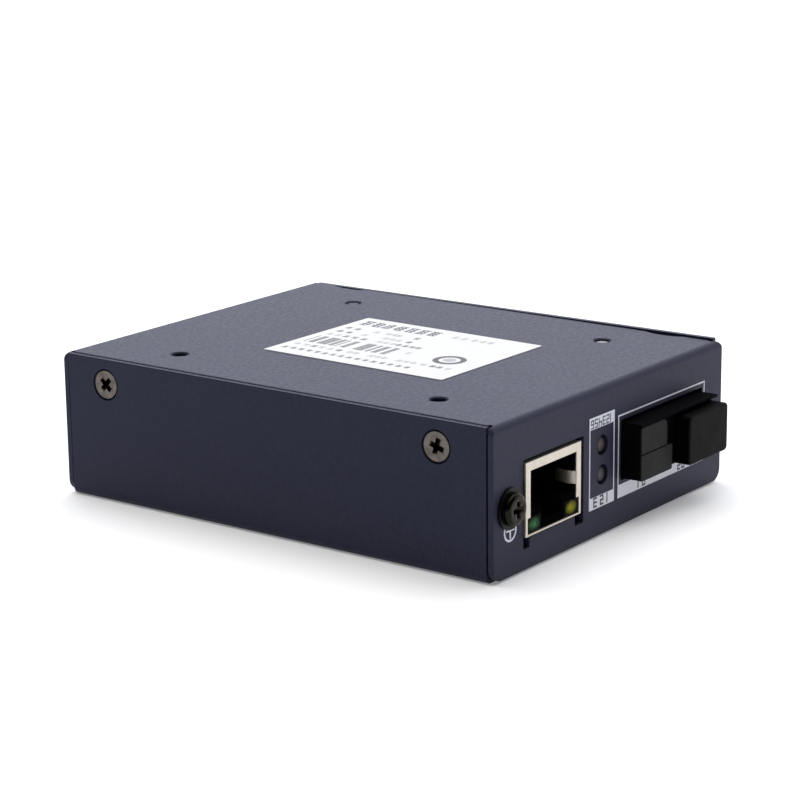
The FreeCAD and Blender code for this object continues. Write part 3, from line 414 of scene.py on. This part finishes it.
def dress_cad():
    """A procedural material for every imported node."""
    coat_tray = powder_coat("powder_coat_tray", NAVY)
    black = moulded("black_moulding_fine", (0.002, 0.002, 0.002), 0.7, spec=0.0)
    epoxy = moulded("component_epoxy", (0.02, 0.02, 0.02), 0.6)
    zinc = metal("zinc_plate", (0.60, 0.60, 0.60))
    black_steel = metal("blackened_steel", (0.02, 0.02, 0.021), 0.4)
    gold = metal("gold_contact", (0.95, 0.72, 0.34), 0.25)
    can = metal("drawn_can", (0.80, 0.80, 0.81))
    looks = {
        # case
        "base_tray": coat_tray,
        "board_standoffs": coat_tray,
        "cover": powder_coat("powder_coat_cover", COVER_NAVY_SHADED),
        # the side screws' recesses are painted dark as shade
        "side_screws": metal("dark_nickel", (0.15, 0.13, 0.115), 0.36, stain=0.35, shaded_recess_node="side_screws"),
        "rating_label": label_paper(),
        # ground terminal
        "ground_screw": metal("black_oxide", (0.019, 0.0165, 0.0125), 0.15, stain=0.3, edge_mm=0.5,
                              samples=12),
        "ground_spring_washer": black_steel,
        "ground_flat_washer": black_steel,
        "ground_nut": zinc,
        # board and what is on it
        "circuit_board": moulded("solder_mask", (0.012, 0.08, 0.03), 0.35, grain_mm=0.5),
        "board_screws_long": metal("screw_steel", (0.42, 0.42, 0.42), 0.38),
        "board_screws_short": black_steel,
        "board_spring_washers": zinc,
        "converter_chip": epoxy,
        "line_transformer": epoxy,
        "voltage_regulator": epoxy,
        "power_inductor": epoxy,
        "crystal": can,
        "electrolytic_capacitors": can,
        "chip_resistors": moulded("chip_ceramic", (0.5, 0.48, 0.44)),
        # copper jack and lamps
        "jack_shield": metal("tinned_shield", (0.66, 0.605, 0.52), 0.42, brush=(1, 1, 3), stain=0.08,
                             edge_mm=0.12),
        "jack_housing": black,
        "jack_contacts": gold,
        "jack_lamp_green": lens("lens_green_tint", (0.060, 0.190, 0.072), (0.001, 0.002, 0.001),
                                near=0.08, reach=0.44),
        "jack_lamp_yellow": lens("lens_yellow_tint", (0.29, 0.275, 0.018), (0.002, 0.002, 0.001),
                                 near=0.14, reach=0.44),
        "lamp_holder": black,
        "link_lamp": panel_lens("lens_smoke", (0.105, 0.072, 0.078)),
        "power_lamp": panel_lens("lens_smoke_lower", (0.080, 0.070, 0.076)),
        # fibre ports
        "fibre_receptacle": moulded("receptacle_moulding", (0.0018, 0.0018, 0.0024), 0.7, spec=0.02),
        "rx_optical_sleeve": can,
        "tx_optical_sleeve": can,
        "rx_optical_assembly": can,
        "tx_optical_assembly": can,
        "optical_leads": gold,
        # the lighter outer-face tints of the two plugs are painted light
        "rx_dust_plug": plug_moulding("plug_moulding_flat", "rx_dust_plug", (0.0225, 0.0225, 0.0225), 0.06),
        "tx_dust_plug": plug_moulding("plug_moulding_deep", "tx_dust_plug", (0.0155, 0.0155, 0.0152), 0.02),
        # power inlet
        "power_inlet_housing": black,
        "power_inlet_pin": zinc,
        "power_inlet_spring": zinc,
    }
    for name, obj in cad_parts.items():
        obj.data.materials.clear()
        obj.data.materials.append(looks[name])


# ---------------------------------------------------------------- print
class Print:
    """Thin raised print on a flat face: tiles, strokes and rings with a real thickness, in millimetres."""

    def __init__(self, name, material, slot, origin, across, up, out, thickness):
        self.bm = bmesh.new()
        self.name, self.material, self.slot = name, material, slot
        self.origin, self.across, self.up, self.out = (Vector(v) for v in (origin, across, up, out))
        self.thickness = thickness

    def point(self, u, v, w):
        """Place on the face, w above it."""
        return (self.origin + self.across * u + self.up * v + self.out * w) * MM

    def polygon(self, points):
        """Flat island of ink through (u, v) points."""
        loft(self.bm, [[self.point(u, v, w) for u, v in points] for w in (0, self.thickness)])

    def tile(self, left, right, low, high):
        """Rectangle of ink."""
        self.polygon([(left, low), (right, low), (right, high), (left, high)])

    def stroke(self, u0, v0, u1, v1, width):
        """Straight stroke between two points."""
        run = Vector((u1 - u0, v1 - v0)).normalized()
        side = Vector((-run.y, run.x)) * width / 2
        self.polygon([(u0 - side.x, v0 - side.y), (u1 - side.x, v1 - side.y),
                      (u1 + side.x, v1 + side.y), (u0 + side.x, v0 + side.y)])

    def ring(self, u, v, outer, inner, steps=48):
        """Ring as one island per step; a disc where inner is 0."""
        angles = [math.radians(360 * i / steps) for i in range(steps + 1)]
        for first, last in zip(angles, angles[1:]):
            self.polygon([(u + radius * math.cos(angle), v + radius * math.sin(angle)) for radius, angle
                          in ((inner, first), (outer, first), (outer, last), (inner, last))])

    def outline(self, left, right, low, high, width):
        """Outline of a rectangle."""
        self.tile(left, right, high - width, high)
        self.tile(left, right, low, low + width)
        self.tile(left, left + width, low + width, high - width)
        self.tile(right - width, right, low + width, high - width)

    def finish(self, body):
        """The print as a piece that rides on a body."""
        obj = add_solids(self.name, self.bm, self.material)
        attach(obj, body)


# Places on the label: u runs along -Y, the way its lines read, and v along +X, up the lines.
# A mark is (u, strong): strong marks are printed dark, the others pale.
LABEL_INK = 0.01
PRINT_SKEW = -0.9                            # degrees
PRINT_SHIFT = (0.4, 2.3, 0)                  # from the label's middle, along X and Y
HEADING = (9.35, -15.5, 2.52, 7)             # v, then the first sign's u, the pitch and the count
HEADING_SMALL = (10.95, (5.6, 7.6, 9.8, 11.6, 13.2))
PARTICULARS = (
    (6.2, ((-15.1, 1), (-13.0, 1), (-8.6, 0), (-6.0, 0), (-4.6, 0), (-3.5, 0), (0.4, 1))),
    (3.25, ((-14.8, 1), (-12.7, 1), (-9.1, 0), (-4.3, 0), (-2.8, 0), (-1.4, 0), (0.9, 1))),
    (0.55, ((-14.9, 0), (-13.0, 0), (-11.2, 1), (-9.3, 1), (-7.2, 1), (-3.6, 0), (-2.2, 0), (-0.7, 0),
            (0.6, 1), (2.2, 1), (3.6, 1), (4.9, 1))),
)
# (start, width) of each group of bars, from the left end of its field
BAR_FIELDS = (
    (-15.45, ((0.0, 0.35), (1.05, 1.2), (2.95, 2.2), (5.55, 1.0), (8.25, 1.1), (6.95, 0.4))),
    (-4.4, ((0.1, 2.1), (2.8, 0.7), (4.1, 1.2), (6.1, 1.1))),
)
BAR_LOW, BAR_HIGH = -6.55, -1.55
SIGN_BY_BARS = (5.8, -3.35)
LONG_ROW = (-8.6, ((-15.0, 0), (-13.0, 0), (-11.2, 1), (-9.6, 0), (-7.5, 0), (-5.6, 1), (-3.2, 0),
                   (-1.8, 0), (1.6, 0), (3.0, 0), (4.4, 0), (7.8, 0), (9.3, 0), (10.8, 0), (12.9, 0),
                   (14.9, 1), (16.4, 1), (18.2, 0)))
LAST_ROW = (-11.75, -15.2, 1.8, 16)          # as HEADING
ROUND_MARK = (14.75, -3.4)


def small_sign(sheet, rng, u, v, width, height):
    """Plain little sign round a point: three short bars and a post."""
    bar = height * 0.24
    notch = width * 0.2
    left, right = u - width / 2, u + width / 2
    kind = rng.randrange(3)
    for row in range(3):
        level = v + (row - 1) * (height - bar) / 2
        inset = 0.0 if row == kind else notch
        sheet.tile(left + inset, right - inset * 0.5, level - bar / 2, level + bar / 2)
    post = left + width * (0.2, 0.45, 0.7)[kind]
    gap = (height - 3 * bar) / 2
    for row in range(2):
        base = v - height / 2 + bar + row * (bar + gap)
        sheet.tile(post, post + width * 0.22, base, base + gap)


def heavy_sign(sheet, rng, u, v, width=2.1, height=3.2, bar=0.46):
    """Large block sign of the heading: four bars across two posts, all of one thickness."""
    nicks = (0.0, 0.2, 0.4)
    pitch = (height - bar) / 3
    for row in range(4):
        inset = rng.choice(nicks)
        level = v + row * pitch
        sheet.tile(u + inset, u + width - rng.choice(nicks), level, level + bar)
    for leftmost, rightmost in ((0.15, 0.5), (1.3, 1.6)):
        post = u + rng.uniform(leftmost, rightmost)
        for row in range(3):
            level = v + row * pitch
            sheet.tile(post, post + bar, level + bar, level + pitch)


def bar_group(sheet, start, width, pitch=0.42, inked=0.72):
    """Group of upright bars with narrow gaps."""
    count = max(1, round(width / pitch))
    step = width / count
    for index in range(count):
        sheet.tile(start + index * step, start + (index + inked) * step, BAR_LOW, BAR_HIGH)


def label_print(body):
    """Plain marks on the rating label: heading blocks, rows of small signs, bar fields and a ring."""
    low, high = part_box("rating_label")
    middle = Vector(((low[0] + high[0]) / 2, (low[1] + high[1]) / 2, high[2])) / MM
    turn = Matrix.Rotation(math.radians(PRINT_SKEW), 3, "Z")

    def sheet(name, material):
        return Print(name, material, "label_paper", middle + Vector(PRINT_SHIFT), turn @ Vector((0, -1, 0)),
                     turn @ Vector((1, 0, 0)), (0, 0, 1), LABEL_INK)

    dark = sheet("label_print_dark", ink("label_ink_black", (0.085, 0.085, 0.095)))
    pale = sheet("label_print_pale", ink("label_ink_grey", (0.42, 0.42, 0.43)))
    black = sheet("label_print_ring", ink("label_ink_ring", (0.030, 0.030, 0.027)))
    rng = random.Random(11)
    # heading and the smaller line beside it
    v, first, pitch, count = HEADING
    for index in range(count):
        heavy_sign(dark, rng, first + index * pitch, v)
    v, places = HEADING_SMALL
    for u in places:
        small_sign(pale, rng, u, v, width=1.3, height=1.5)
    # three rows of particulars, weaker and stronger groups
    for v, marks in PARTICULARS:
        for u, strong in marks:
            small_sign(dark if strong else pale, rng, u, v, width=1.25, height=1.25)
    # two bar fields
    for left, groups in BAR_FIELDS:
        for start, width in groups:
            bar_group(dark, left + start, width)
    small_sign(pale, rng, *SIGN_BY_BARS, width=1.0, height=1.2)
    # two long rows under them
    v, marks = LONG_ROW
    for u, strong in marks:
        small_sign(dark if strong else pale, rng, u, v, width=1.3, height=1.2)
    v, first, pitch, count = LAST_ROW
    for index in range(count):
        small_sign(dark, rng, first + index * pitch, v, width=1.15, height=1.15)
    # plain ring with a patch in it
    black.ring(*ROUND_MARK, outer=3.0, inner=1.95)
    pale.ring(*ROUND_MARK, outer=1.25, inner=0.6, steps=24)
    pale.ring(*ROUND_MARK, outer=0.6, inner=0.0, steps=12)
    for printed in (dark, pale, black):
        printed.finish(body)


# Strokes of plain numerals: a on top, b and c on the right, d at the foot, e and f on the left, g across.
STROKES = {0: "abcdef", 1: "bc", 2: "abged", 3: "abgcd", 4: "fgbc", 5: "afgcd", 6: "afgedc"}


def numerals(sheet, u, v, numbers, pitch, height, width):
    """Row of plain upside-down numerals in straight strokes, the first one round the point, at the right."""
    half, side, grow = height / 2, height * 0.27, width / 2
    ends = {"a": (-side, half, side, half), "b": (side, half, side, 0), "c": (side, 0, side, -half),
            "d": (-side, -half, side, -half), "e": (-side, 0, -side, -half), "f": (-side, half, -side, 0),
            "g": (-side, 0, side, 0)}
    for index, number in enumerate(numbers):
        middle = u - index * pitch
        for stroke in STROKES[number]:
            u0, v0, u1, v1 = ends[stroke]
            left, right = sorted((middle - u0, middle - u1))
            low, high = sorted((v - v0, v - v1))
            sheet.tile(left - grow, right + grow, low - grow, high + grow)


def earth_sign(sheet, u, v):
    """Plain earth sign in a circle, upside down as the unit lies."""
    stem_width, arm_width = 0.4, 0.3
    sheet.ring(u, v, outer=1.8, inner=1.42, steps=40)
    sheet.stroke(u, v - 1.3, u, v - 0.05, stem_width)
    for rise, half in ((0.1, 1.15), (0.62, 0.75), (1.1, 0.35)):
        sheet.stroke(u - half, v + rise, u + half, v + rise, arm_width)


# Places on the front panel: u from its middle, v from the foot of the case.
PANEL_INK = 0.02
KNOCKED_OUT_INK = 0.01
PANEL_LINE = 0.28
LAMP_WINDOW = (-7.9, -0.05, 5.25, 21.2)       # left, right, low, high
LAMP_UPPER_FIELD = 19.15                      # its lower edge
LAMP_LOWER_FIELD = 7.35                       # its upper edge
FIBRE_WINDOW = (1.1, 30.0, 5.3, 19.85)
FIBRE_FIELD = 7.6                             # its upper edge
EARTH_SIGN = (-31.25, 8.0)


def panel_print(body):
    """White outlines and fields round the lamps and the fibre ports, and the earth sign."""
    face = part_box("base_tray")[0][1] / MM
    white = Print("panel_print_white", ink("panel_ink_white", (0.72, 0.73, 0.79)), "label_paper",
                  (0, face, 0), (1, 0, 0), (0, 0, 1), (0, -1, 0), PANEL_INK)
    knocked = Print("panel_print_knocked_out", ink("panel_ink_navy", (0.05, 0.055, 0.085)), "powder_coat",
                    (0, face - PANEL_INK, 0), (1, 0, 0), (0, 0, 1), (0, -1, 0), KNOCKED_OUT_INK)
    left, right, low, high = LAMP_WINDOW
    white.outline(left, right, low, high, PANEL_LINE)
    white.tile(left + PANEL_LINE, right - PANEL_LINE, LAMP_UPPER_FIELD, high - PANEL_LINE)
    white.tile(left + PANEL_LINE, right - PANEL_LINE, low + PANEL_LINE, LAMP_LOWER_FIELD)
    left, right, low, high = FIBRE_WINDOW
    white.outline(left, right, low, high, PANEL_LINE)
    white.tile(left + PANEL_LINE, right - PANEL_LINE, low + PANEL_LINE, FIBRE_FIELD)
    # numerals knocked out of the fields
    numerals(knocked, -1.0, 20.05, (1, 2, 3, 4, 5, 6), pitch=1.2, height=1.3, width=0.24)
    numerals(knocked, -1.9, 6.4, (1, 2, 3), pitch=2.05, height=1.45, width=0.34)
    numerals(knocked, 9.6, 6.45, (0, 1), pitch=1.45, height=1.5, width=0.32)
    numerals(knocked, 22.9, 6.35, (0, 2), pitch=1.45, height=1.4, width=0.32)
    earth_sign(white, *EARTH_SIGN)
    for printed in (white, knocked):
        printed.finish(body)


# ---------------------------------------------------------------- screw ends and seam
THREAD_RADIUS = 1.35
TIP_RADIUS = 1.0
TIP_CHAMFER = 0.22
FRONT_RISE = 0.25            # how far the front end stands above the solid screw
REAR_RISE = 0.42
SHEET = 1.0
WALL_DROP = 0.148            # from the plate's face down to the wall's edge
COAT_DROP = 0.015            # from the plate's face down to the coat
COAT_REACH = 0.13            # of the coat, onto the wall's edge
COAT_DEPTH = 0.4
SEAM_WIDTH = 0.1
SEAM_CLEAR = 0.01            # between the coat and the sheet on either side
SEAM_SETBACK = 0.3           # from each end of the cover's wall


def screw_ends(body):
    """Chamfered ends of the two long screws, just under the plate's face: the front one is bare steel."""
    low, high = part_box("board_screws_long")
    head = (high[0] - low[0]) / 2
    bm = bmesh.new()
    for finish, (y, rise) in enumerate(((low[1] + head, FRONT_RISE), (high[1] - head, REAR_RISE))):
        loft(bm, [[(low[0] + head + radius * MM * math.cos(math.radians(a)),
                    y + radius * MM * math.sin(math.radians(a)), high[2] + height * MM)
                   for a in range(0, 360, 10)]
                  for radius, height in ((THREAD_RADIUS, 0.0), (THREAD_RADIUS, rise - TIP_CHAMFER),
                                         (TIP_RADIUS, rise))], finish)
    ends = add_solids("screw_ends", bm, metal("screw_end_bare", (0.33, 0.32, 0.30)),
                      bpy.data.materials["powder_coat_tray"])
    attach(ends, body)


def seam_coat(body):
    """Powder coat drawn down into the seam between the plate's near edge and the cover's wall."""
    low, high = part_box("cover")
    wall = low[0] / MM + SHEET
    near, far = wall + SEAM_CLEAR, wall + SEAM_WIDTH - SEAM_CLEAR
    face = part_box("base_tray")[1][2] / MM
    edge, foot = face - WALL_DROP, face - COAT_DEPTH
    section = ((wall - COAT_REACH, edge), (far, face - COAT_DROP), (far, foot), (near, foot), (near, edge))
    bm = bmesh.new()
    loft(bm, [[(x * MM, y, z * MM) for x, z in section]
              for y in (low[1] + SEAM_SETBACK * MM, high[1] - SEAM_SETBACK * MM)])
    coat = add_solids("seam_coat_near", bm, bpy.data.materials["powder_coat_tray"])
    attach(coat, body)


place_camera()
build_studio()
dress_cad()
screw_ends("case")
seam_coat("case")
label_print("case")
panel_print("case")
